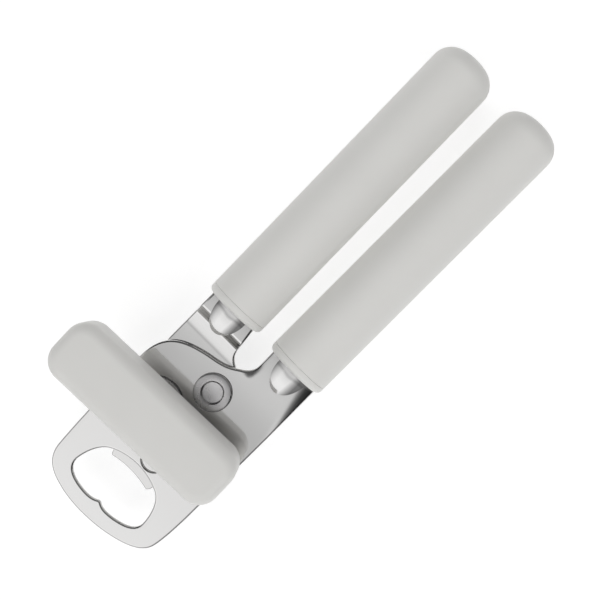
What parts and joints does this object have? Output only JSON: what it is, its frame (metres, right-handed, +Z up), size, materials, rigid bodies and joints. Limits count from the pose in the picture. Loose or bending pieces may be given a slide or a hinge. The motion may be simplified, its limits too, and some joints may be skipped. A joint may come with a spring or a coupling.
{
  "type": "manual can opener",
  "caption": "Pliers-type can opener: flat steel arms crossed at a rivet, round soft grips, long turning knob, geared feed wheel and round blade, bottle opener in the nose.",
  "frame": {"origin": "middle of the underside, where the opener lies on its back", "axes": "+X from the bottle opener towards the handle ends, +Y from the lower handle towards the upper one, +Z up through the knob, along the pivot and shaft axes"},
  "size_m": [0.211, 0.0754, 0.0393],
  "materials": {
    "polished_steel": "mirror-polished stainless steel",
    "turned_steel": "fine turned steel",
    "tool_steel": "ground, hardened steel",
    "soft_grip": "satin soft-touch moulding, warm off-white",
    "nylon": "moulded nylon, light grey"
  },
  "bodies": {
    "front_arm": {"front_plate": "polished_steel", "pivot_rivet": "turned_steel", "pivot_washer": "turned_steel", "shaft_bush": "nylon", "lower_handle_grip": "soft_grip", "lower_handle_collar": "soft_grip", "lower_handle_core": "nylon"},
    "rear_arm": {"rear_plate": "polished_steel", "cutter_stud": "turned_steel", "upper_handle_grip": "soft_grip", "upper_handle_collar": "soft_grip", "upper_handle_core": "nylon"},
    "drive": {"drive_shaft": "turned_steel", "drive_gear": "tool_steel", "feed_wheel": "tool_steel", "shaft_end_washer": "turned_steel", "knob_washer": "turned_steel", "knob_shell": "soft_grip", "knob_core": "nylon"},
    "cutter": {"cutter_gear": "tool_steel", "cutter_spacer": "turned_steel", "cutter_wheel": "tool_steel"}
  },
  "joints": [
    {"name": "arms_open", "type": "hinge", "parent": "front_arm", "child": "rear_arm", "pos_m": [-0.04162, -0.01095, 0.0123], "axis": [0, 0, 1], "range_deg": [0, 32]},
    {"name": "knob_turn", "type": "hinge", "parent": "front_arm", "child": "drive", "pos_m": [-0.05962, 0.00065, 0.0123], "axis": [0, 0, 1], "continuous": true},
    {"name": "cutter_turn", "type": "hinge", "parent": "rear_arm", "child": "cutter", "pos_m": [-0.05962, -0.01615, 0.0123], "axis": [0, 0, 1], "continuous": true}
  ],
  "couplings": [
    {"joint": "cutter_turn", "follows": "knob_turn", "ratio": -1}
  ]
}
